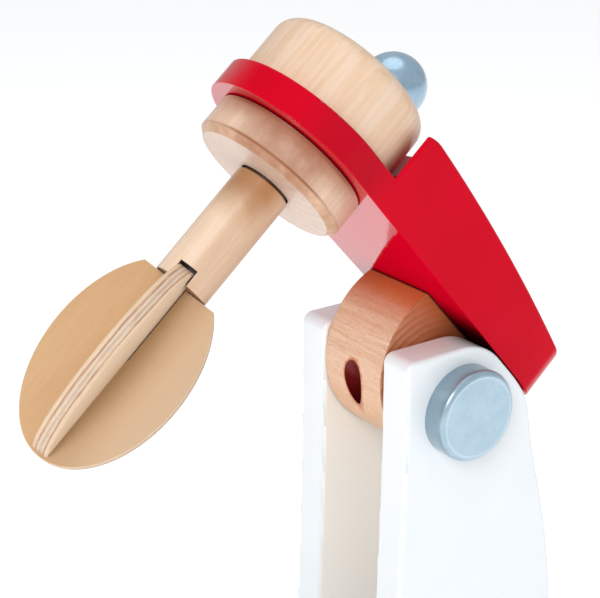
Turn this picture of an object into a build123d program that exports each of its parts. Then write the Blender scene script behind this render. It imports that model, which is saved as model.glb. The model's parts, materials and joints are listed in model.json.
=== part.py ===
"""Toy stand mixer in wood: a stand, a tilting head, a crank disc and a pull-out beater.

Millimetres, +Z up, base board resting on Z = 0, mixing head pointing to -X.
The head is drawn tilted back against its upper stop.
"""

import os
from math import acos, atan2, cos, hypot, pi, radians, sin

from build123d import *

# Pivot and head pose
pivot_x = 57.0
pivot_z = 171.0
tilt = radians(49.0)

# Base board
base_length = 246.0
base_width = 124.0
base_thickness = 18.0
base_corner = 24.0
base_edge = 3.0

# Side plates, outline measured from the pivot
plate_gap = 39.2
plate_thickness = 16.5
plate_front = -29.0
plate_foot_front = -34.0
plate_top = 26.3
plate_corner = 4.5
plate_shoulder = 11.0
plate_edge = 1.8
plate_rear = [(33.8, 0.0), (39.8, -20.0), (48.6, -56.0), (57.8, -109.0)]
plate_foot_rear = 62.0

# Spacer block between the plates
spacer_front = -24.0
spacer_rear = 54.0
spacer_height = 22.0
spacer_dowel_radius = 4.0
spacer_dowel_length = 26.0
spacer_dowel_x = [-8.0, 36.0]

# Screws driven up from below
screw_radius = 2.0
screw_head_radius = 4.2
screw_length = 34.0
screw_x = [-19.0, 48.0]
screw_recess = 4.6
screw_sunk = 0.4

# Pivot axle, caps and washers
axle_radius = 7.0
running_play = 0.05
cap_radius = 19.6
cap_thickness = 10.4
cap_edge = 2.7
cap_socket = 5.0
neck_washer_radius = 15.0
neck_washer = 0.75

# Neck wheel, in head axes from the pivot
neck_radius = 37.8
neck_x = -2.5
neck_z = 14.0
neck_rear = 27.5
neck_edge = 0.4
neck_bevel = 0.6
neck_hole_radius = 5.5
neck_hole_z = -16.6
neck_hole_end = 2.0
neck_dowel_radius = 5.0
neck_dowel_length = 28.0
neck_dowel_x = [-23.0, 17.0]

# Arm, in head axes
arm_low = 26.6
arm_shelf = 12.3
arm_nose_radius = 39.0
arm_tail = 34.2
arm_tail_half = 34.0
arm_tail_corner = 10.0
arm_tail_round = 8.0
arm_top_front = 61.6
arm_crown_front = -96.0
arm_horn = (-109.0, 56.5)
arm_top_middle = 58.5
arm_top_rear = 49.6
arm_scoop_radius = 40.8
arm_edge_high = 0.9
arm_edge_low = 0.5

# Spindle group, in head axes
spindle_x = -121.5
sleeve_radius = 15.0
sleeve_bore = 10.25
sleeve_into_upper = 14.0
sleeve_into_lower = 9.5
bushing_radius = 17.5
spindle_washer_radius = 24.0
spindle_washer_thickness = 0.6
upper_radius = 34.7
upper_height = 28.3
upper_round = 7.4
lower_radius = 32.7
lower_height = 15.5
lower_bevel = 2.8
lower_edge = 0.4
mouth_radius = 11.0

# Knob on the upper disc
ball_radius = 13.8
ball_rise = 12.0
ball_x = 23.3
ball_y = 7.7
peg_radius = 4.0
peg_into_disc = 14.0
peg_into_ball = 15.0

# Beater, in head axes
shank_radius = 11.57
shank_tenon_radius = 10.2
shank_shoulder_gap = 1.0
shank_low = -40.0
shank_slot_depth = 6.8
shank_slot_play = 0.8
blade_thickness = 7.0
blade_half_width = 28.0
blade_half_length = 44.5
blade_middle = -76.5
blade_edge = 0.4
blade_turn = 44.8
first_shift = 0.9
first_tip_short = 1.2
tab_rise = 5.4
shoulder_gap = 0.4
lap_level = -74.0
lap_play = 0.5

# Sizes that follow from the ones above
foot = base_thickness - pivot_z
screw_top = screw_sunk + screw_length
plate_outer = plate_gap / 2 + plate_thickness
neck_width = plate_gap - 2 * neck_washer - 2 * running_play
shelf_top = arm_low + arm_shelf
upper_low = shelf_top + running_play
upper_top = upper_low + upper_height
lower_top = arm_low - spindle_washer_thickness - running_play
lower_low = lower_top - lower_height
sleeve_top = upper_low + sleeve_into_upper
sleeve_low = lower_top - sleeve_into_lower
screw_y = plate_gap / 2 + plate_thickness / 2
screw_spots = [(pivot_x + x, y) for x in screw_x for y in (-screw_y, screw_y)]
screw_spots.append((pivot_x + (spacer_front + spacer_rear) / 2, 0))

# Working planes of the stand and of the head
head_x = Vector(cos(tilt), 0, -sin(tilt))
head_z = Vector(sin(tilt), 0, cos(tilt))
pivot = Vector(pivot_x, 0, pivot_z)
spindle = pivot + head_x * spindle_x
cross_x = head_x.rotate(Axis((0, 0, 0), head_z), blade_turn)
cross_y = head_z.cross(cross_x)
stand_side = Plane(origin=pivot, x_dir=(1, 0, 0), z_dir=(0, -1, 0))
head_side = Plane(origin=pivot, x_dir=head_x, z_dir=(0, -1, 0))
head_level = Plane(origin=pivot, x_dir=head_x, z_dir=head_z)
spindle_level = Plane(origin=spindle, x_dir=head_x, z_dir=head_z)
cross_level = Plane(origin=spindle + cross_y * first_shift, x_dir=cross_x, z_dir=head_z)
first_blade = Plane(origin=cross_level.origin, x_dir=cross_x, z_dir=-cross_y)
second_blade = Plane(origin=spindle, x_dir=cross_y, z_dir=cross_x)

os.makedirs("parts", exist_ok=True)


def cylinder_between(plane, low, high, radius, spots=((0, 0),), mode=Mode.ADD):
    """Upright cylinders on the plane, from one level to another."""
    with BuildSketch(plane.offset(low)) as circles:
        with Locations(*spots):
            Circle(radius)
    extrude(circles.sketch, amount=high - low, mode=mode)


def ring_between(plane, low, high, outer, inner, spots=((0, 0),)):
    """Upright rings on the plane, from one level to another."""
    with BuildSketch(plane.offset(low)) as rings:
        with Locations(*spots):
            Circle(outer)
            Circle(inner, mode=Mode.SUBTRACT)
    extrude(rings.sketch, amount=high - low)


def screw_cones(mode=Mode.ADD):
    """Countersunk cones opening downwards in the base board."""
    drop = screw_head_radius - screw_radius
    with Locations(*[(x, y, screw_sunk + drop / 2) for x, y in screw_spots]):
        Cone(screw_head_radius, screw_radius, drop, mode=mode)


# Base board with countersunk holes
with BuildPart() as base_board:
    with BuildSketch():
        RectangleRounded(base_length, base_width, base_corner)
    extrude(amount=base_thickness)
    fillet(base_board.edges().group_by(Axis.Z)[-1], radius=base_edge)
    fillet(base_board.edges().group_by(Axis.Z)[0], radius=base_edge / 2)
    cylinder_between(
        Plane.XY, 0, base_thickness, screw_radius, screw_spots, Mode.SUBTRACT
    )
    cylinder_between(
        Plane.XY, 0, screw_sunk, screw_head_radius, screw_spots, Mode.SUBTRACT
    )
    screw_cones(Mode.SUBTRACT)
base_board.part.label = "base_board"
export_step(base_board.part, "parts/base_board.step")

# Countersunk screws with cross recesses
with BuildPart() as base_screws:
    cylinder_between(Plane.XY, screw_sunk, screw_top, screw_radius, screw_spots)
    screw_cones()
    with Locations(*[(x, y, screw_sunk) for x, y in screw_spots]):
        Box(screw_recess, 1, 2.4, mode=Mode.SUBTRACT)
        Box(1, screw_recess, 2.4, mode=Mode.SUBTRACT)
base_screws.part.label = "base_screws"
export_step(base_screws.part, "parts/base_screws.step")


def plate_face(start):
    """Side plate outline: curved front, flat rest, round over the pivot, flared rear."""
    arc_end = Vector(sin(tilt), cos(tilt)) * plate_top
    slope = Vector(cos(tilt), -sin(tilt))
    shoulder_end = arc_end + slope * plate_shoulder
    corner_low = (plate_front, plate_top - plate_corner)
    corner_high = (plate_front + plate_corner, plate_top)
    foot_front = (plate_foot_front, foot)
    foot_rear = (plate_foot_rear, foot)
    rear = [shoulder_end] + plate_rear + [foot_rear]
    with BuildSketch(stand_side.offset(start)) as outline:
        with BuildLine():
            Line(foot_rear, foot_front)
            TangentArc(corner_low, foot_front, tangent=(0, -1))
            RadiusArc(corner_low, corner_high, plate_corner)
            Line(corner_high, (0, plate_top))
            RadiusArc((0, plate_top), arc_end, plate_top)
            Line(arc_end, shoulder_end)
            Spline(*rear, tangents=(slope, (0.16, -1)), tangent_scalars=(0.5, 0.5))
        make_face()
    return outline.sketch


def side_plate(start, dowel_start):
    """Side plate with axle hole, dowel holes and screw pilots."""
    with BuildPart() as plate:
        extrude(plate_face(start), amount=plate_thickness)
        faces = plate.faces().sort_by(Axis.Y)
        fillet(faces[0].edges() + faces[-1].edges(), radius=plate_edge)
        cylinder_between(
            stand_side, start, start + plate_thickness, axle_radius, mode=Mode.SUBTRACT
        )
        cylinder_between(
            stand_side,
            dowel_start,
            dowel_start + spacer_dowel_length,
            spacer_dowel_radius,
            [(x, foot + spacer_height / 2) for x in spacer_dowel_x],
            Mode.SUBTRACT,
        )
        cylinder_between(
            Plane.XY, 0, screw_top, screw_radius, screw_spots, Mode.SUBTRACT
        )
    return plate


# Side plates
dowel_left = plate_gap / 2 - spacer_dowel_length / 2
dowel_right = -plate_gap / 2 - spacer_dowel_length / 2
left_plate = side_plate(plate_gap / 2, dowel_left)
left_plate.part.label = "left_plate"
export_step(left_plate.part, "parts/left_plate.step")

right_plate = side_plate(-plate_outer, dowel_right)
right_plate.part.label = "right_plate"
export_step(right_plate.part, "parts/right_plate.step")

# Spacer block
with BuildPart() as spacer_block:
    with BuildSketch(stand_side.offset(-plate_gap / 2)):
        with Locations(((spacer_front + spacer_rear) / 2, foot + spacer_height / 2)):
            Rectangle(spacer_rear - spacer_front, spacer_height)
    extrude(amount=plate_gap)
    upper_ends = spacer_block.edges().filter_by(Axis.Y).group_by(Axis.Z)[-1]
    fillet(upper_ends, radius=base_edge)
    for dowel_start in (dowel_left, dowel_right):
        cylinder_between(
            stand_side,
            dowel_start,
            dowel_start + spacer_dowel_length,
            spacer_dowel_radius,
            [(x, foot + spacer_height / 2) for x in spacer_dowel_x],
            Mode.SUBTRACT,
        )
    cylinder_between(Plane.XY, 0, screw_top, screw_radius, screw_spots, Mode.SUBTRACT)
spacer_block.part.label = "spacer_block"
export_step(spacer_block.part, "parts/spacer_block.step")

# Dowels between spacer and plates
with BuildPart() as spacer_dowels:
    for dowel_start in (dowel_left, dowel_right):
        cylinder_between(
            stand_side,
            dowel_start,
            dowel_start + spacer_dowel_length,
            spacer_dowel_radius,
            [(x, foot + spacer_height / 2) for x in spacer_dowel_x],
        )
spacer_dowels.part.label = "spacer_dowels"
export_step(spacer_dowels.part, "parts/spacer_dowels.step")

# Pivot axle through both plates into the caps
axle_half = plate_outer + cap_socket
with BuildPart() as pivot_axle:
    cylinder_between(stand_side, -axle_half, axle_half, axle_radius)
pivot_axle.part.label = "pivot_axle"
export_step(pivot_axle.part, "parts/pivot_axle.step")


def axle_cap(facing):
    """Turned cap glued over one end of the axle."""
    outward = Plane(origin=pivot, x_dir=(1, 0, 0), z_dir=(0, facing, 0))
    with BuildPart() as cap:
        cylinder_between(outward, plate_outer, plate_outer + cap_thickness, cap_radius)
        rims = cap.edges().sort_by(Axis.Y)
        fillet(rims[-1] if facing > 0 else rims[0], radius=cap_edge)
        cylinder_between(outward, 0, axle_half, axle_radius, mode=Mode.SUBTRACT)
    return cap


left_cap = axle_cap(-1)
left_cap.part.label = "left_cap"
export_step(left_cap.part, "parts/left_cap.step")

right_cap = axle_cap(1)
right_cap.part.label = "right_cap"
export_step(right_cap.part, "parts/right_cap.step")

# Washers between the plates and the neck wheel
with BuildPart() as neck_washers:
    for low in (-plate_gap / 2, plate_gap / 2 - neck_washer):
        ring_between(
            stand_side,
            low,
            low + neck_washer,
            neck_washer_radius,
            axle_radius + running_play,
        )
neck_washers.part.label = "neck_washers"
export_step(neck_washers.part, "parts/neck_washers.step")

# Neck wheel: eccentric round block, flat under the arm, cross hole below the axle
dowel_low = arm_low - neck_dowel_length / 2
hole_centre = pivot + head_x * neck_hole_end + head_z * neck_hole_z
hole_plane = Plane(origin=hole_centre, x_dir=(0, 1, 0), z_dir=-head_x)
with BuildPart() as neck_wheel:
    with BuildSketch(head_side.offset(-neck_width / 2)) as neck_face:
        with Locations((neck_x, neck_z)):
            Circle(neck_radius)
        with Locations((neck_rear - neck_radius, arm_low - neck_radius)):
            Rectangle(2 * neck_radius, 2 * neck_radius, mode=Mode.INTERSECT)
        chamfer(neck_face.vertices().group_by(Axis.Y)[-1], length=neck_bevel)
    extrude(amount=neck_width)
    faces = neck_wheel.faces().sort_by(Axis.Y)
    fillet(faces[0].edges() + faces[-1].edges(), radius=neck_edge)
    cylinder_between(
        head_side,
        -neck_width / 2,
        neck_width / 2,
        axle_radius + running_play,
        mode=Mode.SUBTRACT,
    )
    cylinder_between(hole_plane, 0, 2 * neck_radius, neck_hole_radius, mode=Mode.SUBTRACT)
    cylinder_between(
        head_level,
        dowel_low,
        arm_low,
        neck_dowel_radius,
        [(x, 0) for x in neck_dowel_x],
        Mode.SUBTRACT,
    )
neck_wheel.part.label = "neck_wheel"
export_step(neck_wheel.part, "parts/neck_wheel.step")

# Dowels between neck wheel and arm
with BuildPart() as neck_dowels:
    cylinder_between(
        head_level,
        dowel_low,
        dowel_low + neck_dowel_length,
        neck_dowel_radius,
        [(x, 0) for x in neck_dowel_x],
    )
neck_dowels.part.label = "neck_dowels"
export_step(neck_dowels.part, "parts/neck_dowels.step")

# Arm: round nose shelf under the upper disc, tall body scooped around it
run = arm_tail - arm_tail_corner - spindle_x
flank = atan2(arm_tail_half, run) + acos(arm_nose_radius / hypot(run, arm_tail_half))
nose_edge = (
    spindle_x + arm_nose_radius * cos(flank),
    arm_nose_radius * sin(flank),
)
nose_tip = (spindle_x - arm_nose_radius, 0)
tail_edge = (arm_tail - arm_tail_corner, arm_tail_half)
tail_corner = (arm_tail, arm_tail_half - arm_tail_corner)
arm_body_height = arm_top_front - arm_low + arm_edge_low
with BuildPart() as arm:
    with BuildSketch(head_level.offset(arm_low)):
        with BuildLine():
            ThreePointArc(nose_edge, nose_tip, (nose_edge[0], -nose_edge[1]))
            Line(nose_edge, tail_edge)
            Line((nose_edge[0], -nose_edge[1]), (tail_edge[0], -tail_edge[1]))
            RadiusArc(tail_edge, tail_corner, arm_tail_corner)
            RadiusArc(
                (tail_corner[0], -tail_corner[1]),
                (tail_edge[0], -tail_edge[1]),
                arm_tail_corner,
            )
            Line(tail_corner, (tail_corner[0], -tail_corner[1]))
        make_face()
    extrude(amount=arm_body_height)
    with BuildSketch(head_side.offset(-2 * arm_nose_radius)):
        with BuildLine():
            crown = ThreePointArc(
                (arm_crown_front, arm_top_front),
                ((spindle_x + arm_tail) / 2, arm_top_middle),
                (arm_tail - arm_tail_round, arm_top_rear),
            )
            tail_round = TangentArc(
                crown @ 1, (arm_tail, arm_top_rear - arm_tail_round), tangent=crown % 1
            )
            TangentArc(crown @ 0, arm_horn, tangent=-(crown % 0))
            Polyline(
                tail_round @ 1,
                (arm_tail, arm_low),
                (nose_tip[0], arm_low),
                (nose_tip[0], arm_horn[1]),
                arm_horn,
            )
        make_face()
    extrude(amount=4 * arm_nose_radius, mode=Mode.INTERSECT)
    cylinder_between(
        spindle_level, shelf_top, 2 * arm_top_front, arm_scoop_radius, mode=Mode.SUBTRACT
    )
    across = arm.edges().filter_by(Axis.Y)
    upright = arm.edges().filter_by(Axis(pivot, head_z))
    horns = upright.sort_by(Axis(pivot, head_x))[2:4]
    scoop_foot = arm.edges().filter_by(GeomType.CIRCLE).filter_by(
        lambda edge: abs(edge.radius - arm_scoop_radius) < 0.01
    )
    low_rim = arm.edges().group_by(Axis(pivot, head_z))[0]
    fillet(
        arm.edges() - across - upright - scoop_foot - low_rim + horns,
        radius=arm_edge_high,
    )
    fillet(arm.edges().group_by(Axis(pivot, head_z))[0], radius=arm_edge_low)
    cylinder_between(
        spindle_level, arm_low, shelf_top, bushing_radius, mode=Mode.SUBTRACT
    )
    cylinder_between(
        head_level,
        arm_low,
        dowel_low + neck_dowel_length,
        neck_dowel_radius,
        [(x, 0) for x in neck_dowel_x],
        Mode.SUBTRACT,
    )
arm.part.label = "arm"
export_step(arm.part, "parts/arm.step")

# Bushing pressed into the arm shelf
with BuildPart() as spindle_bushing:
    ring_between(
        spindle_level,
        arm_low,
        shelf_top,
        bushing_radius,
        sleeve_radius + running_play,
    )
spindle_bushing.part.label = "spindle_bushing"
export_step(spindle_bushing.part, "parts/spindle_bushing.step")

# Upper disc with a bore for the sleeve and a hole for the knob peg
with BuildPart() as upper_disc:
    cylinder_between(spindle_level, upper_low, upper_top, upper_radius)
    fillet(upper_disc.edges().sort_by(Axis(pivot, head_z))[-1], radius=upper_round)
    cylinder_between(
        spindle_level, upper_low, sleeve_top, sleeve_radius, mode=Mode.SUBTRACT
    )
    cylinder_between(
        spindle_level,
        upper_top - peg_into_disc,
        upper_top,
        peg_radius,
        [(ball_x, ball_y)],
        Mode.SUBTRACT,
    )
upper_disc.part.label = "upper_disc"
export_step(upper_disc.part, "parts/upper_disc.step")

# Sleeve joining both discs, socket for the beater shank
with BuildPart() as spindle_sleeve:
    ring_between(spindle_level, sleeve_low, sleeve_top, sleeve_radius, sleeve_bore)
spindle_sleeve.part.label = "spindle_sleeve"
export_step(spindle_sleeve.part, "parts/spindle_sleeve.step")

# Lower disc, bevelled towards the beater
with BuildPart() as lower_disc:
    cylinder_between(spindle_level, lower_low, lower_top, lower_radius)
    chamfer(lower_disc.edges().sort_by(Axis(pivot, head_z))[0], length=lower_bevel)
    fillet(lower_disc.edges().sort_by(Axis(pivot, head_z))[:2], radius=lower_edge)
    cylinder_between(
        spindle_level, sleeve_low, lower_top, sleeve_radius, mode=Mode.SUBTRACT
    )
    cylinder_between(
        spindle_level, lower_low, sleeve_low, mouth_radius, mode=Mode.SUBTRACT
    )
lower_disc.part.label = "lower_disc"
export_step(lower_disc.part, "parts/lower_disc.step")

# Thin washer between the lower disc and the arm
with BuildPart() as spindle_washer:
    ring_between(
        spindle_level,
        lower_top,
        lower_top + spindle_washer_thickness,
        spindle_washer_radius,
        sleeve_radius + running_play,
    )
spindle_washer.part.label = "spindle_washer"
export_step(spindle_washer.part, "parts/spindle_washer.step")

# Peg of the knob
with BuildPart() as knob_peg:
    cylinder_between(
        spindle_level,
        upper_top - peg_into_disc,
        upper_top + peg_into_ball,
        peg_radius,
        [(ball_x, ball_y)],
    )
knob_peg.part.label = "knob_peg"
export_step(knob_peg.part, "parts/knob_peg.step")

# Ball knob, flattened where it sits on the disc
ball_centre = spindle + head_x * ball_x + Vector(0, ball_y, 0) + head_z * (upper_top + ball_rise)
with BuildPart() as ball_knob:
    with Locations(Plane(origin=ball_centre, x_dir=head_x, z_dir=head_z)):
        Sphere(ball_radius)
    cylinder_between(
        spindle_level, upper_top - ball_radius, upper_top, 3 * ball_radius, mode=Mode.SUBTRACT
    )
    cylinder_between(
        spindle_level,
        upper_top,
        upper_top + peg_into_ball,
        peg_radius,
        [(ball_x, ball_y)],
        Mode.SUBTRACT,
    )
ball_knob.part.label = "ball_knob"
export_step(ball_knob.part, "parts/ball_knob.step")

# Beater shank with a shouldered tenon on top and a slot across its lower end
slot_width = blade_thickness + shank_slot_play
shank_shoulder = lower_low - shank_shoulder_gap
with BuildPart() as beater_shank:
    cylinder_between(spindle_level, shank_low, shank_shoulder, shank_radius)
    fillet(beater_shank.edges().group_by(Axis(pivot, head_z))[0], radius=0.6)
    fillet(beater_shank.edges().group_by(Axis(pivot, head_z))[-1], radius=0.6)
    cylinder_between(spindle_level, shank_low / 2, sleeve_top, shank_tenon_radius)
    with BuildSketch(cross_level.offset(shank_low)):
        with Locations((0, -shank_slot_play / 2)):
            Rectangle(3 * shank_radius, slot_width)
    extrude(amount=shank_slot_depth, mode=Mode.SUBTRACT)
beater_shank.part.label = "beater_shank"
export_step(beater_shank.part, "parts/beater_shank.step")


def blade(plane, tip_short, top, lap_low, lap_high, lap_left, lap_right):
    """Flat oval blade, cut straight on top and half-lapped with its partner."""
    with BuildPart() as panel:
        with BuildSketch(plane):
            with Locations((0, blade_middle + tip_short / 2)):
                Ellipse(blade_half_width, blade_half_length - tip_short / 2)
            with Locations((0, top - 2 * blade_half_length)):
                Rectangle(
                    4 * blade_half_width, 4 * blade_half_length, mode=Mode.INTERSECT
                )
        extrude(amount=blade_thickness / 2, both=True)
        flats = panel.faces().filter_by(Axis(spindle, plane.z_dir))
        chamfer(flats.edges(), length=blade_edge)
        with BuildSketch(plane):
            with Locations(((lap_left + lap_right) / 2, (lap_low + lap_high) / 2)):
                Rectangle(lap_right - lap_left, lap_high - lap_low)
        extrude(amount=blade_thickness, both=True, mode=Mode.SUBTRACT)
    return panel


# Crossed blades: the first stands in the shank's slot and is lapped from below,
# the second ends just under the shank and is lapped from above
blade_tip = blade_middle - blade_half_length - 1
blade_half = blade_thickness / 2
tab_top = shank_low + tab_rise
first = blade(
    first_blade, first_tip_short, tab_top, blade_tip, lap_level, -blade_half, blade_half
)
first.part.label = "blade_first"
export_step(first.part, "parts/blade_first.step")

lap_left = first_shift - blade_half - lap_play
lap_right = first_shift + blade_half
second = blade(second_blade, 0, shank_low - shoulder_gap, lap_level, 0, lap_left, lap_right)
second.part.label = "blade_second"
export_step(second.part, "parts/blade_second.step")
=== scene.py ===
"""Looks for the wooden toy stand mixer: lacquers, turned wood, plywood and pearl paint in a white studio."""

import json
from math import cos, radians, sin

import bpy
from mathutils import Matrix, Vector

MM = 0.001

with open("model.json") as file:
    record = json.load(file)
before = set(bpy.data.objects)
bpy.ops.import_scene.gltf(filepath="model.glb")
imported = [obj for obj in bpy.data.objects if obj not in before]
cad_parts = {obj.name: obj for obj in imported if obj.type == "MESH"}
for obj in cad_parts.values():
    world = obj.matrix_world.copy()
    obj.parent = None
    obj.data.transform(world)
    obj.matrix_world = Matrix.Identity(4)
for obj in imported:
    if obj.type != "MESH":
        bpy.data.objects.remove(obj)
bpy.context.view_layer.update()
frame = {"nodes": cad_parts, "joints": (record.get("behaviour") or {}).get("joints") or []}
nodes = frame["nodes"]
joints = {joint["name"]: joint for joint in frame["joints"]}

# ---------------------------------------------------------------- sizes that the looks follow
half_gap = 19.6 * MM
cap_radius = 19.6 * MM
neck_side = 18.8 * MM
hole_up = -16.6 * MM
hole_radius = 5.5 * MM
hole_end = 2 * MM
arm_low = 26.6 * MM
shelf_top = 38.9 * MM
disc_low = 10.45 * MM
disc_top = 25.95 * MM
disc_radius = 32.7 * MM
bevel_top = 13.25 * MM
mouth_radius = 11.0 * MM
shank_end = -40.0 * MM
shank_shoulder = 9.45 * MM
tenon_radius = 10.2 * MM
blade_thickness = 7 * MM
blade_turn = radians(44.8)
blade_shift = 0.9 * MM

# ---------------------------------------------------------------- axes of each moving group
pivot = Vector(joints["head_tilt"]["pos_m"])
tilt = radians(-joints["head_tilt"]["range_deg"][0])
spindle_foot = Vector(joints["crank_spin"]["pos_m"])
quarter_turn = radians(90)

stand_axes = Matrix.Identity(4)
plate_axes = Matrix.Rotation(quarter_turn, 4, "Y")
head_axes = Matrix.Translation(pivot) @ Matrix.Rotation(tilt, 4, "Y")
wheel_axes = head_axes @ Matrix.Rotation(quarter_turn, 4, "X")
axle_axes = Matrix.Translation(pivot) @ Matrix.Rotation(quarter_turn, 4, "X")
spindle_axes = Matrix.Translation(spindle_foot) @ Matrix.Rotation(tilt, 4, "Y")
first_blade_axes = (
    spindle_axes @ Matrix.Rotation(blade_turn, 4, "Z") @ Matrix.Translation((0.0, blade_shift, 0.0))
)
second_blade_axes = spindle_axes @ Matrix.Rotation(blade_turn + quarter_turn, 4, "Z")

# ---------------------------------------------------------------- colours
maple_pale = (0.80, 0.58, 0.41)
maple_ring = (0.62, 0.38, 0.23)
disc_pale = (0.77, 0.55, 0.41)
disc_ring = (0.60, 0.36, 0.24)
shank_pale = (0.86, 0.66, 0.49)
beech_pale = (0.86, 0.60, 0.43)
beech_ring = (0.50, 0.20, 0.085)
fleck_brown = (0.36, 0.16, 0.07)
# painted shade in gaps and recesses
gap_shade_black = (0.035, 0.012, 0.008)

red = (0.63, 0.0012, 0.017)
red_deep = (0.59, 0.0010, 0.014)
# painted shade round the arm's nose
red_nose_shade = (0.38, 0.006, 0.016)
red_black = (0.02, 0.0, 0.001)
white = (0.85, 0.89, 0.92)
white_deep = (0.83, 0.87, 0.90)
# painted warm bounce light
warm_bounce_cream = (0.93, 0.90, 0.85)
blue = (0.40, 0.56, 0.67)
blue_shade = (0.35, 0.51, 0.62)
knob_blue = (0.34, 0.52, 0.67)
knob_shade = (0.28, 0.46, 0.61)
pearl_pale = (0.80, 0.88, 0.93)
plastic_grey = (0.55, 0.55, 0.53)
washer_grey = (0.60, 0.58, 0.54)


# ---------------------------------------------------------------- node building
class Paint:
    """One material under construction. Whatever computes a value returns the socket that carries it."""

    def __init__(self, name):
        self.material = bpy.data.materials.new(name)
        self.material.use_nodes = True
        self.tree = self.material.node_tree
        self.tree.nodes.clear()
        self.shader = self.add("ShaderNodeBsdfPrincipled")
        output = self.add("ShaderNodeOutputMaterial")
        self.tree.links.new(self.shader.outputs["BSDF"], output.inputs["Surface"])
        self.bumps = None

    def add(self, kind, **settings):
        node = self.tree.nodes.new(kind)
        for key, value in settings.items():
            setattr(node, key, value)
        return node

    def feed(self, socket, value):
        """A socket takes another socket, a number, a vector or a colour."""
        if isinstance(value, bpy.types.NodeSocket):
            self.tree.links.new(value, socket)
        elif socket.type == "RGBA":
            socket.default_value = (*value, 1.0)
        else:
            socket.default_value = value

    def set(self, **inputs):
        """Shader inputs by name, with _ for a space."""
        for key, value in inputs.items():
            self.feed(self.shader.inputs[key.replace("_", " ")], value)

    def local(self, axes):
        """Place on the piece, in metres along its own axes."""
        coordinate = self.add("ShaderNodeTexCoord")
        inverse = axes.inverted()
        turn = self.add("ShaderNodeMapping")
        self.feed(turn.inputs["Vector"], coordinate.outputs["Object"])
        turn.inputs["Location"].default_value = inverse.to_translation()
        turn.inputs["Rotation"].default_value = inverse.to_euler("XYZ")
        return turn.outputs["Vector"]

    def vector_math(self, operation, output, *values):
        node = self.add("ShaderNodeVectorMath", operation=operation)
        for socket, value in zip(node.inputs, values):
            self.feed(socket, value)
        return node.outputs[output]

    def scaled(self, vector, stretch):
        return self.vector_math("MULTIPLY", "Vector", vector, stretch)

    def shifted(self, vector, offset):
        return self.vector_math("ADD", "Vector", vector, offset)

    def length(self, vector):
        return self.vector_math("LENGTH", "Value", vector)

    def from_axis(self, vector):
        """Distance from the local Z axis."""
        return self.length(self.scaled(vector, (1.0, 1.0, 0.0)))

    def parts(self, vector):
        node = self.add("ShaderNodeSeparateXYZ")
        self.feed(node.inputs[0], vector)
        return node.outputs["X"], node.outputs["Y"], node.outputs["Z"]

    def math(self, operation, first, second=0.0, third=0.0):
        node = self.add("ShaderNodeMath", operation=operation)
        for socket, value in zip(node.inputs, (first, second, third)):
            self.feed(socket, value)
        return node.outputs["Value"]

    def times(self, *factors):
        result = factors[0]
        for factor in factors[1:]:
            result = self.math("MULTIPLY", result, factor)
        return result

    def plus(self, value, slope, offset):
        """value x slope + offset"""
        return self.math("MULTIPLY_ADD", value, slope, offset)

    def size_of(self, value):
        return self.math("ABSOLUTE", value)

    def rest_of(self, value):
        """1 - value"""
        return self.math("SUBTRACT", 1.0, value)

    def toward(self, vector, direction, radius):
        """1 on the side of the local Z axis that faces direction (x, y), -1 on the far side."""
        along, side, _ = self.parts(vector)
        reach = self.plus(side, direction[1], self.times(along, direction[0]))
        return self.math("DIVIDE", reach, radius)

    def noise(self, vector, size, detail=3.0, rough=0.5, distortion=0.0):
        """Soft noise from 0 to 1 whose lumps are about size metres across."""
        node = self.add("ShaderNodeTexNoise")
        self.feed(node.inputs["Vector"], vector)
        node.inputs["Scale"].default_value = 1.0 / size
        node.inputs["Detail"].default_value = detail
        node.inputs["Roughness"].default_value = rough
        node.inputs["Distortion"].default_value = distortion
        return node.outputs["Fac"]

    def grain(self, vector, run, size, detail=3.0, rough=0.5):
        """Noise whose lumps are drawn out to 1 / run times their size along the local Z axis."""
        return self.noise(self.scaled(vector, (1.0, 1.0, run)), size, detail, rough)

    def cells(self, vector, size, output="Distance"):
        node = self.add("ShaderNodeTexVoronoi")
        self.feed(node.inputs["Vector"], vector)
        node.inputs["Scale"].default_value = 1.0 / size
        return node.outputs[output]

    def between(self, value, low, high, out_low=0.0, out_high=1.0):
        """Carries value from the span low..high to out_low..out_high, held at both ends."""
        node = self.add("ShaderNodeMapRange", interpolation_type="SMOOTHSTEP")
        self.feed(node.inputs["Value"], value)
        node.inputs["From Min"].default_value = low
        node.inputs["From Max"].default_value = high
        node.inputs["To Min"].default_value = out_low
        node.inputs["To Max"].default_value = out_high
        return node.outputs["Result"]

    def facing(self, blend):
        """0 where the surface is seen straight on, rising to 1 at its outline."""
        node = self.add("ShaderNodeLayerWeight")
        node.inputs["Blend"].default_value = blend
        return node.outputs["Facing"]

    def mix(self, amount, under, over):
        node = self.add("ShaderNodeMix", data_type="RGBA")
        self.feed(node.inputs[0], amount)
        self.feed(node.inputs[6], under)
        self.feed(node.inputs[7], over)
        return node.outputs[2]

    def steps(self, value, stops):
        """A colour ramp from (place, colour) stops."""
        node = self.add("ShaderNodeValToRGB")
        ramp = node.color_ramp
        while len(ramp.elements) < len(stops):
            ramp.elements.new(1.0)
        for element, (place, colour) in zip(ramp.elements, stops):
            element.position = place
            element.color = (*colour, 1.0)
        self.feed(node.inputs["Fac"], value)
        return node.outputs["Color"]

    def tint(self, amount, colour):
        """Lays one more colour over the base colour and keeps the result."""
        self.colour = self.mix(amount, self.colour, colour)
        self.set(Base_Color=self.colour)

    def relief(self, height, depth):
        """Bump of a 0..1 height map whose full range is depth metres; each call adds to the last."""
        node = self.add("ShaderNodeBump")
        node.inputs["Strength"].default_value = 1.0
        node.inputs["Distance"].default_value = depth
        self.feed(node.inputs["Height"], height)
        if self.bumps is not None:
            self.feed(node.inputs["Normal"], self.bumps)
        self.bumps = node.outputs["Normal"]
        self.feed(self.shader.inputs["Normal"], self.bumps)


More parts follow.
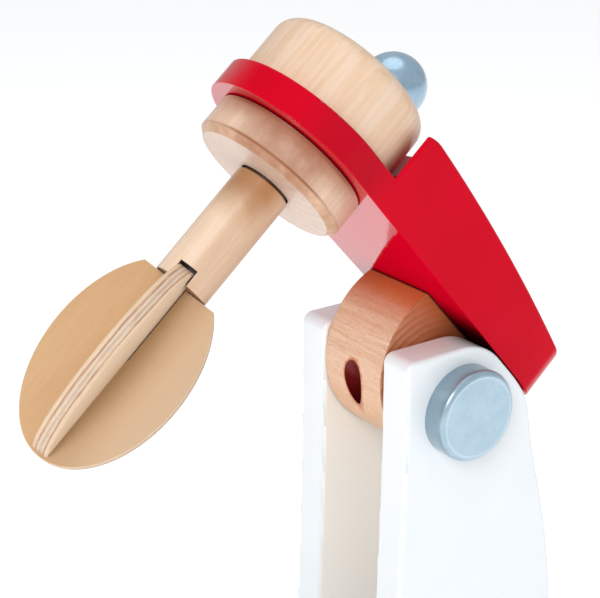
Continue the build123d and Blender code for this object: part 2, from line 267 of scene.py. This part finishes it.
# ---------------------------------------------------------------- wood
def wood(name, axes, pale, ring_tone, pith=(0.05, 0.03), flecks=0.12, lines=0.20, blushing=0.32,
         pale_streak=(0.86, 0.72, 0.62)):
    """Solid wood with its grain along the local Z axis, under a thin satin varnish."""
    ring_gap = 3.4 * MM
    rings = 0.25
    streaks = 0.22
    paint = Paint(name)
    place = paint.local(axes)

    wander = paint.grain(place, 0.12, 16 * MM, detail=2.0)
    drift = paint.grain(place, 0.12, 4 * MM, detail=2.0)
    across = paint.shifted(paint.scaled(place, (1.0, 1.0, 0.06)), (*pith, 0.0))
    bent = paint.plus(wander, 6 * MM, paint.length(across))
    bent = paint.plus(drift, 1.0 * MM, bent)
    year = paint.math("FRACT", paint.math("DIVIDE", bent, ring_gap))
    late = paint.times(paint.between(year, 0.35, 0.92), paint.between(year, 1.0, 0.93))
    uneven = paint.grain(place, 0.3, 11 * MM, detail=2.0)
    late = paint.times(late, paint.between(uneven, 0.3, 0.75, 0.2, 1.0))

    broad = paint.grain(place, 0.07, 4.5 * MM, detail=2.0)
    narrow = paint.grain(place, 0.05, 1.3 * MM, rough=0.55)
    fibres = paint.grain(place, 0.035, 0.4 * MM, rough=0.6)
    dashes = paint.between(paint.grain(place, 0.2, 0.34 * MM, detail=1.0), 0.66, 0.80)
    patches = paint.grain(place, 0.09, 4.0 * MM, detail=4.0, rough=0.6)
    specks = paint.between(paint.cells(paint.scaled(place, (1.0, 1.0, 0.6)), 2.4 * MM), 0.09, 0.04)

    colour = paint.mix(paint.times(late, rings), pale, ring_tone)
    colour = paint.mix(paint.between(broad, 0.35, 0.72, 0.0, streaks), colour, ring_tone)
    colour = paint.mix(paint.between(narrow, 0.35, 0.75, 0.0, streaks), colour, ring_tone)
    colour = paint.mix(paint.between(fibres, 0.3, 0.8, 0.0, lines), colour, ring_tone)
    colour = paint.mix(paint.between(patches, 0.44, 0.62, 0.0, blushing), colour, pale_streak)
    colour = paint.mix(paint.times(dashes, flecks), colour, fleck_brown)
    colour = paint.mix(paint.times(specks, 0.25), colour, fleck_brown)
    paint.colour = colour
    paint.place = place

    paint.set(Base_Color=colour, Roughness=paint.plus(narrow, 0.16, 0.36), Specular_IOR_Level=0.3)
    paint.set(Coat_Weight=0.25, Coat_Roughness=0.2)
    paint.relief(fibres, 0.02 * MM)
    paint.relief(paint.rest_of(dashes), 0.02 * MM)
    return paint


def finish_neck(paint, place):
    """Neck wheel: a deeper orange up to the arm that is painted shade and painted red reflection, painted
    shade on the side faces, nearly black towards the back, a dark painted shade line along the arm, and a
    ragged chipped cross hole painted dark inside as shade.
    """
    along, side, up = paint.parts(place)
    off_side = paint.size_of(side)
    ragged = paint.noise(place, 1.8 * MM, detail=4.0, rough=0.65)
    weave = paint.noise(paint.scaled(place, (1.0, 0.22, 1.0)), 0.5 * MM, rough=0.7)
    # painted shade and painted red reflection from the arm: the wood deepens to orange towards the arm
    paint.tint(paint.between(up, 2 * MM, 23 * MM, 0.0, 0.95), (0.54, 0.13, 0.034))
    paint.tint(paint.between(up, -12 * MM, -27 * MM, 0.0, 0.65), (0.78, 0.42, 0.21))
    paint.tint(paint.between(weave, 0.48, 0.75, 0.0, 0.40), (0.42, 0.13, 0.045))
    paint.tint(paint.between(weave, 0.40, 0.22, 0.0, 0.30), (0.86, 0.56, 0.38))

    on_side = paint.between(off_side, neck_side - 0.35 * MM, neck_side - 0.1 * MM)
    arcs = paint.plus(ragged, 2.0 * MM, paint.length(paint.scaled(place, (1.0, 0.0, 1.0))))
    arcs = paint.math("FRACT", paint.math("DIVIDE", arcs, 3.1 * MM))
    # end-grain arcs over painted shade: the whole side face is darkened, more in the arcs
    paint.tint(paint.times(on_side, paint.between(arcs, 0.1, 0.9, 0.62, 0.92)), (0.43, 0.11, 0.028))
    edge = paint.between(off_side, neck_side - 0.45 * MM, neck_side - 0.3 * MM)
    paint.tint(paint.times(edge, paint.rest_of(on_side), 0.85), (0.20, 0.05, 0.02))
    # painted shadow: the side faces go nearly black towards the back, under the arm and between the plates
    paint.tint(paint.times(on_side, paint.between(along, -30 * MM, 5 * MM), 0.85), (0.050, 0.012, 0.008))
    # painted shade: a dark line along the contact with the arm's underside
    contact_shade = paint.plus(ragged, 0.6 * MM, up)
    paint.tint(paint.between(contact_shade, arm_low - 0.9 * MM, arm_low - 0.2 * MM, 0.0, 0.95), (0.030, 0.008, 0.006))

    reach = paint.length(paint.scaled(paint.shifted(place, (0.0, 0.0, -hole_up)), (0.0, 1.0, 1.0)))
    ahead = paint.between(along, hole_end + 1.0 * MM, hole_end)
    chipped = paint.plus(paint.math("SUBTRACT", ragged, 0.5), 3.2 * MM, reach)
    near = paint.between(chipped, hole_radius + 1.4 * MM, hole_radius + 0.5 * MM)
    paint.tint(paint.times(near, ahead, 0.9), (0.58, 0.17, 0.05))
    # painted shade: the inside of the cross hole is dark red-brown
    inside = paint.between(reach, hole_radius + 0.25 * MM, hole_radius + 0.05 * MM)
    hole_shade = paint.mix(ragged, (0.10, 0.002, 0.003), (0.24, 0.012, 0.010))
    paint.tint(paint.times(inside, ahead), hole_shade)
    return paint


def finish_lower_disc(paint):
    """Lower disc: brown under the arm that is partly browned wood and partly painted shade, painted shade on
    the bevel and on the front of the wall, a paler end-grain face with faint rings, and painted black shade
    round the mouth.
    """
    place = paint.place
    level = paint.parts(place)[2]
    radius = paint.from_axis(place)
    cloud = paint.noise(place, 6 * MM)
    front = paint.toward(place, (-0.643, -0.766), radius)

    # partly browned wood and partly painted shade: darker brown up towards the arm, mostly on the front
    browned_and_shaded = paint.between(paint.plus(cloud, 4 * MM, level), 18.0 * MM, 28.0 * MM, 0.0, 0.9)
    paint.tint(paint.times(browned_and_shaded, paint.between(front, 0.25, 0.75, 0.2, 1.0)), (0.40, 0.18, 0.095))
    shadow = paint.between(level, disc_top - 2.35 * MM, disc_top - 0.05 * MM, 0.0, 0.8)
    paint.tint(paint.times(shadow, paint.between(front, 0.25, 0.85)), (0.20, 0.025, 0.018))

    on_face = paint.between(level, disc_low + 0.45 * MM, disc_low + 0.05 * MM)
    paint.tint(paint.times(on_face, 0.6), (0.74, 0.61, 0.53))
    ring_centre = paint.shifted(paint.scaled(place, (1.0, 1.0, 0.0)), (0.034, 0.018, 0.0))
    arcs = paint.plus(cloud, 3 * MM, paint.length(ring_centre))
    arcs = paint.between(paint.math("FRACT", paint.math("DIVIDE", arcs, 5.2 * MM)), 0.2, 1.0)
    paint.tint(paint.times(arcs, on_face, 0.35), (0.60, 0.44, 0.34))

    bevel_reach = disc_radius - bevel_top
    bevel = paint.math("SUBTRACT", radius, level)
    bevel = paint.between(bevel, bevel_reach - 0.35 * MM, bevel_reach - 0.1 * MM)
    # painted shade on the bevel band
    paint.tint(paint.times(bevel, paint.between(cloud, 0.3, 0.7, 0.4, 0.85)), (0.52, 0.27, 0.14))
    # painted shade: darker on the front of the wall, less on the face
    side_shade = paint.times(paint.between(front, 0.74, 0.98, 0.0, 0.68),
                        paint.between(cloud, 0.2, 0.6, 0.7, 1.0),
                        paint.between(on_face, 0.0, 1.0, 1.0, 0.4))
    paint.tint(side_shade, (0.34, 0.13, 0.065))
    off_line = paint.size_of(paint.math("SUBTRACT", level, bevel_top + 0.15 * MM))
    line = paint.times(paint.between(off_line, 0.9 * MM, 0.0),
                       paint.between(front, 0.6, 0.95, 0.15, 1.0),
                       paint.between(radius, disc_radius - 0.7 * MM, disc_radius - 0.4 * MM))
    paint.tint(line, (0.30, 0.10, 0.03))
    # painted shade: black round the mouth, where the shank goes in
    mouth = paint.between(radius, mouth_radius + 0.35 * MM, mouth_radius + 0.1 * MM, 0.0, 0.9)
    paint.tint(mouth, gap_shade_black)
    return paint


def finish_shank(paint):
    """Shank: painted shade over all but the nose side, brown up to the shoulder that is partly burnished
    wood and partly painted shadow from the disc, and painted dark shade on the end face, in the joint and in
    the slot.
    """
    place = paint.place
    along, _, level = paint.parts(place)
    radius = paint.from_axis(place)
    cloud = paint.noise(place, 5 * MM)
    front = paint.toward(place, (-0.819, -0.574), radius)

    # painted shade: the end face, where the blades sit, is dark brown
    end_shade = paint.between(level, shank_end + 0.2 * MM, shank_end + 0.03 * MM, 0.0, 0.85)
    paint.tint(end_shade, (0.13, 0.055, 0.025))
    # painted shade over all but the strip on the nose side
    paint.tint(paint.between(along, -10.5 * MM, -6.0 * MM, 0.0, 0.4), (0.45, 0.22, 0.10))
    # partly burnished wood and partly painted shadow from the disc: brown up to the shoulder, mostly on the
    # front
    browned_and_shaded = paint.between(paint.plus(cloud, 5 * MM, level), -12 * MM, 9 * MM)
    paint.tint(paint.times(browned_and_shaded, paint.between(front, 0.2, 0.85, 0.15, 0.9)), (0.38, 0.165, 0.055))
    # painted shade: black on the tenon in the gap below the disc and in the slot
    joint = paint.times(paint.between(level, shank_shoulder + 3.15 * MM, shank_shoulder + 2.15 * MM),
                        paint.between(level, shank_end + 0.05 * MM, shank_end + 0.4 * MM),
                        paint.between(radius, tenon_radius + 0.3 * MM, tenon_radius + 0.1 * MM, 0.0, 0.9))
    paint.tint(joint, gap_shade_black)
    return paint


def plywood(name, axes, veneer, veneer_band, far_half, centre_shade=0.0):
    """Plywood blade: smooth veneer faces and a rim of layers, counted across the local Y axis."""
    cream = (0.72, 0.53, 0.36)
    rose = (0.46, 0.25, 0.17)
    brown = (0.38, 0.21, 0.13)
    grey = (0.56, 0.43, 0.32)
    light = (0.72, 0.58, 0.45)

    def darker(share):
        return tuple(share * channel for channel in veneer)

    paint = Paint(name)
    place = paint.local(axes)
    across, depth, _ = paint.parts(place)

    wobble = paint.noise(paint.scaled(place, (0.12, 1.0, 0.12)), 2.0 * MM)
    bent = paint.plus(paint.math("SUBTRACT", wobble, 0.5), 0.9 * MM, depth)
    layer = paint.math("ADD", paint.math("DIVIDE", bent, blade_thickness), 0.5)
    rim = paint.steps(layer, [
        (0.00, cream), (0.17, cream), (0.20, brown), (0.28, rose), (0.31, light), (0.40, grey), (0.45, grey),
        (0.48, rose), (0.51, grey), (0.62, light), (0.69, rose), (0.77, brown), (0.80, cream), (1.00, cream),
    ])
    lines = paint.noise(paint.scaled(place, (0.07, 1.0, 0.07)), 0.45 * MM, detail=4.0, rough=0.7)
    blotch = paint.noise(paint.scaled(place, (0.3, 1.0, 0.3)), 3.0 * MM)
    rim = paint.mix(paint.between(lines, 0.46, 0.75, 0.0, 0.6), rim, (0.82, 0.67, 0.52))
    rim = paint.mix(paint.between(lines, 0.46, 0.28, 0.0, 0.6), rim, (0.38, 0.20, 0.12))
    rim = paint.mix(paint.between(blotch, 0.4, 0.7, 0.0, 0.4), rim, cream)

    fibres = paint.grain(place, 0.04, 0.6 * MM, rough=0.6)
    bands = paint.grain(place, 0.10, 7 * MM, detail=2.0)
    dots = paint.between(paint.grain(place, 0.3, 0.4 * MM, detail=0.0), 0.74, 0.82)
    off_middle = paint.size_of(paint.math("ADD", across, 4 * MM))
    face = paint.mix(paint.between(bands, 0.35, 0.7), veneer, veneer_band)
    face = paint.mix(paint.between(fibres, 0.35, 0.8, 0.0, 0.18), face, darker(0.62))
    face = paint.mix(paint.times(dots, 0.25), face, darker(0.5))
    face = paint.mix(paint.between(across, 0.0, -26 * MM, 0.0, 0.8), face, far_half)
    # painted shade from the crossing blade: darker veneer near the middle
    face = paint.mix(paint.between(off_middle, 15 * MM, 2 * MM, 0.0, centre_shade), face, darker(0.45))

    half = blade_thickness / 2
    on_face = paint.between(paint.size_of(depth), half - 0.12 * MM, half - 0.02 * MM)
    paint.set(Base_Color=paint.mix(on_face, rim, face), Roughness=paint.plus(on_face, -0.25, 0.65))
    paint.set(Specular_IOR_Level=0.35)
    paint.relief(fibres, 0.010 * MM)
    paint.relief(paint.times(lines, paint.rest_of(on_face)), 0.10 * MM)
    return paint


# ---------------------------------------------------------------- lacquer, paint, plastic and steel
def lacquer(name, axes, colour, deep, gloss, facing_coat=1.0):
    """Sprayed gloss lacquer over wood: orange peel, a hint of the grain below, and specks of dust."""
    paint = Paint(name)
    place = paint.local(axes)
    ripple = paint.noise(place, 1.6 * MM, detail=2.0)
    ground = paint.noise(paint.scaled(place, (0.06, 1.0, 1.0)), 2.2 * MM, rough=0.6)
    cloud = paint.noise(place, 30 * MM)
    specks = paint.between(paint.cells(place, 2.1 * MM), 0.10, 0.04)
    tone = paint.mix(paint.between(cloud, 0.35, 0.7), colour, deep)
    paint.colour = paint.mix(paint.between(ground, 0.5, 0.8, 0.0, 0.15), tone, deep)
    paint.coat = paint.between(paint.facing(0.5), 0.32, 0.66, facing_coat, 1.0)
    paint.set(Base_Color=paint.colour, Roughness=0.6, Specular_IOR_Level=0.0)
    paint.set(Coat_Weight=paint.coat, Coat_Roughness=paint.plus(cloud, 0.05, gloss), Coat_IOR=1.6)
    paint.relief(ripple, 0.010 * MM)
    paint.relief(ground, 0.015 * MM)
    paint.relief(specks, 0.01 * MM)
    paint.set(Coat_Normal=paint.bumps)
    return paint


def warm_bounce_inner_faces(paint):
    """Painted warm bounced light: the faces towards the gap between the side plates are tinted a warm cream.
    """
    side = paint.size_of(paint.parts(paint.local(stand_axes))[1])
    # painted warm bounce light on the faces towards the gap
    paint.tint(paint.between(side, half_gap + 0.9 * MM, half_gap + 0.1 * MM), warm_bounce_cream)
    return paint


def finish_arm(paint, place):
    """Arm: an underside that is dull towards the neck and has painted shade, nearly black, over the side
    plates, painted shade in a deeper red round the nose, and a glossy tail."""
    along, side, up = paint.parts(place)
    ragged = paint.noise(paint.scaled(place, (0.3, 1.0, 1.0)), 2.5 * MM, detail=4.0)
    under = paint.between(up, arm_low + 0.6 * MM, arm_low + 0.2 * MM)
    back = paint.plus(ragged, 5 * MM, paint.plus(side, -0.872, along))
    dull = paint.times(under, paint.between(back, -53.0 * MM, -51.5 * MM))
    gloss = paint.times(paint.coat, paint.rest_of(dull))
    tail = paint.between(along, 25 * MM, 31 * MM)
    paint.set(Coat_Weight=paint.math("MAXIMUM", gloss, tail), Coat_IOR=paint.plus(under, 0.25, 1.6))

    # painted shade: a deeper red on the nose's flank below the shelf
    nose_shade = paint.times(paint.between(along, -153 * MM, -138 * MM),
                      paint.between(along, -100 * MM, -116 * MM),
                      paint.between(up, arm_low + 0.3 * MM, arm_low + 0.6 * MM, 0.0, 0.5),
                      paint.between(up, shelf_top + 0.05 * MM, shelf_top - 0.4 * MM))
    paint.tint(nose_shade, red_nose_shade)
    shade = paint.times(paint.between(along, -38 * MM, -12 * MM), paint.between(along, 28 * MM, 16 * MM))
    paint.tint(paint.times(under, shade, 0.98), red_black)
    return paint


def pearl_paint(name, axes, colour, shade, wall=None, metallic=0.35, coat=0.8, rough=0.30):
    """Pearl blue paint: very fine pale flakes under a clear satin coat, with painted shade on a rounded rim
    band and a wall and a thin painted highlight line at the edge of the face.
    """
    paint = Paint(name)
    place = paint.local(axes)
    brightness = paint.parts(paint.cells(place, 0.16 * MM, "Color"))[0]
    cloud = paint.noise(place, 9 * MM)
    brushed = paint.grain(place, 0.3, 1.4 * MM)
    paint.colour = paint.mix(paint.between(cloud, 0.35, 0.7), colour, shade)
    paint.tint(paint.between(brushed, 0.4, 0.8, 0.0, 0.14), (0.70, 0.80, 0.86))
    paint.tint(paint.between(brightness, 0.7, 1.0, 0.0, 0.16), pearl_pale)
    paint.tint(paint.between(brightness, 0.3, 0.0, 0.0, 0.14), (0.16, 0.24, 0.31))
    if wall is not None:
        outer = paint.from_axis(place)
        # painted highlight: a thin pale line at the edge of the flat face
        line = paint.times(paint.between(outer, wall - 3.2 * MM, wall - 2.8 * MM),
                           paint.between(outer, wall - 2.1 * MM, wall - 2.5 * MM), 0.3)
        # painted shade: darker on the rounded rim band and darker still out on the wall
        paint.tint(paint.between(outer, wall - 2.6 * MM, wall - 1.2 * MM, 0.0, 0.35), (0.22, 0.32, 0.40))
        paint.tint(paint.between(outer, wall - 0.5 * MM, wall - 0.2 * MM, 0.0, 0.6), (0.16, 0.24, 0.30))
        paint.tint(line, pearl_pale)
    sheen = paint.between(paint.facing(0.35), 0.1, 0.9, rough, rough + 0.12)
    paint.set(Metallic=metallic, Roughness=sheen, Coat_Weight=coat, Coat_Roughness=0.12)
    paint.relief(paint.noise(place, 1.2 * MM), 0.008 * MM)
    return paint


def plastic(name, axes, colour):
    """Plain moulded plastic with faint flow marks."""
    darker = tuple(0.8 * channel for channel in colour)
    paint = Paint(name)
    place = paint.local(axes)
    flow = paint.noise(paint.scaled(place, (1.0, 1.0, 0.2)), 3 * MM, distortion=0.6)
    tone = paint.mix(paint.between(flow, 0.3, 0.7, 0.0, 0.3), colour, darker)
    paint.set(Base_Color=tone, Roughness=paint.plus(flow, 0.15, 0.35))
    paint.relief(paint.noise(place, 0.4 * MM), 0.01 * MM)
    return paint


def plated_steel(name, axes):
    """Bright zinc-plated screw steel with turning marks."""
    paint = Paint(name)
    place = paint.local(axes)
    marks = paint.noise(paint.scaled(place, (0.05, 0.05, 1.0)), 0.12 * MM, detail=2.0)
    bloom = paint.noise(place, 2.5 * MM)
    tone = paint.mix(paint.between(bloom, 0.3, 0.7), (0.62, 0.62, 0.60), (0.48, 0.49, 0.50))
    paint.set(Base_Color=tone, Metallic=1.0, Roughness=paint.plus(marks, 0.2, 0.24))
    paint.relief(marks, 0.02 * MM)
    return paint


# ---------------------------------------------------------------- a material for every node
def coat(node, paint):
    """Gives a CAD node its finished material."""
    for slot in nodes[node].material_slots:
        slot.material = paint.material


for node in ("left_plate", "right_plate"):
    coat(node, warm_bounce_inner_faces(lacquer("white_" + node, plate_axes, white, white_deep, 0.12)))
white_lacquer = lacquer("white_lacquer", stand_axes, white, white_deep, 0.12)
for node in ("base_board", "spacer_block"):
    coat(node, white_lacquer)

arm_lacquer = lacquer("red_lacquer", head_axes, red, red_deep, 0.04, facing_coat=0.10)
coat("arm", finish_arm(arm_lacquer, arm_lacquer.local(head_axes)))

neck = wood("beech_neck", wheel_axes, beech_pale, beech_ring, pith=(0.012, 0.045), flecks=0.6, lines=0.40,
            pale_streak=(0.88, 0.68, 0.53), blushing=0.10)
coat("neck_wheel", finish_neck(neck, neck.local(head_axes)))
coat("upper_disc", wood("maple_upper", spindle_axes, maple_pale, maple_ring, pith=(0.02, 0.05)))
disc = wood("maple_lower", spindle_axes, disc_pale, disc_ring, pith=(-0.03, 0.04), blushing=0.2)
coat("lower_disc", finish_lower_disc(disc))
shank = wood("maple_shank", spindle_axes, shank_pale, maple_ring, pith=(0.03, 0.03))
coat("beater_shank", finish_shank(shank))
dowel_axes = {"neck_dowels": head_axes, "spacer_dowels": axle_axes, "pivot_axle": axle_axes,
              "knob_peg": spindle_axes}
for node, axes in dowel_axes.items():
    coat(node, wood("dowel_" + node, axes, beech_pale, beech_ring))

coat("blade_first", plywood("plywood_first", first_blade_axes,
                            (0.88, 0.69, 0.51), (0.84, 0.64, 0.46), (0.86, 0.66, 0.48)))
coat("blade_second", plywood("plywood_second", second_blade_axes,
                             (0.54, 0.30, 0.120), (0.57, 0.33, 0.145), (0.54, 0.37, 0.23), centre_shade=0.32))

coat("ball_knob", pearl_paint("pearl_knob", spindle_axes, knob_blue, knob_shade,
                              metallic=0.6, coat=1.0, rough=0.25))
for node in ("left_cap", "right_cap"):
    coat(node, pearl_paint("pearl_" + node, axle_axes, blue, blue_shade, wall=cap_radius))
for node in ("spindle_sleeve", "spindle_bushing", "spindle_washer"):
    coat(node, plastic("plastic_" + node, spindle_axes, plastic_grey))
coat("neck_washers", plastic("plastic_neck_washers", axle_axes, washer_grey))
coat("base_screws", plated_steel("screw_steel", stand_axes))


# ---------------------------------------------------------------- studio
def make_floor(half=6.0, level=-0.2 * MM):
    """One wide pale sheet just under the base board."""
    mesh = bpy.data.meshes.new("floor")
    corners = [(-half, -half, level), (half, -half, level), (half, half, level), (-half, half, level)]
    mesh.from_pydata(corners, [], [(0, 1, 2, 3)])
    floor = bpy.data.objects.new("floor", mesh)
    bpy.context.scene.collection.objects.link(floor)
    paint = Paint("studio_floor")
    mottle = paint.noise(paint.local(stand_axes), 0.4, detail=2.0)
    tone = paint.mix(mottle, (0.92, 0.92, 0.92), (0.94, 0.94, 0.94))
    paint.set(Base_Color=tone, Roughness=0.75, Emission_Color=(0.98, 0.99, 1.0), Emission_Strength=0.46)
    mesh.materials.append(paint.material)


def make_softbox(name, place, size, power, colour):
    """A round soft light that looks at the pivot."""
    light = bpy.data.lights.new(name, "AREA")
    light.shape = "DISK"
    light.size = size
    light.energy = power
    light.color = colour
    lamp = bpy.data.objects.new(name, light)
    lamp.location = place
    lamp.rotation_euler = (pivot - Vector(place)).to_track_quat("-Z", "Y").to_euler()
    bpy.context.scene.collection.objects.link(lamp)


def make_camera():
    """The camera looks at a point in the object's mid-plane, ahead of and above the pivot."""
    azimuth = radians(-35.25)
    elevation = radians(20.6)
    distance = 0.6083
    aim = pivot + Vector((-55.4, 0.0, 48.8)) * MM
    back = Vector((sin(azimuth) * cos(elevation), -cos(azimuth) * cos(elevation), sin(elevation)))
    data = bpy.data.cameras.new("camera")
    data.sensor_width = 36.0
    data.lens = 92.42
    data.clip_start = 0.01
    camera = bpy.data.objects.new("camera", data)
    camera.location = aim + back * distance
    camera.rotation_euler = back.to_track_quat("Z", "Y").to_euler()
    bpy.context.scene.collection.objects.link(camera)
    bpy.context.scene.camera = camera


def make_world(colour, strength):
    """An even, nearly white surround."""
    world = bpy.data.worlds.new("studio")
    world.use_nodes = True
    background = world.node_tree.nodes["Background"]
    background.inputs["Color"].default_value = (*colour, 1.0)
    background.inputs["Strength"].default_value = strength
    bpy.context.scene.world = world


make_world((0.96, 0.98, 1.0), 0.50)
bpy.context.scene.view_settings.view_transform = "Standard"
make_floor()
make_camera()
make_softbox("key", (-0.85, -0.75, 1.0), 0.6, 9.0, (1.0, 0.99, 0.97))
make_softbox("top", (0.1, 0.1, 1.5), 1.2, 4.0, (1.0, 1.0, 1.0))
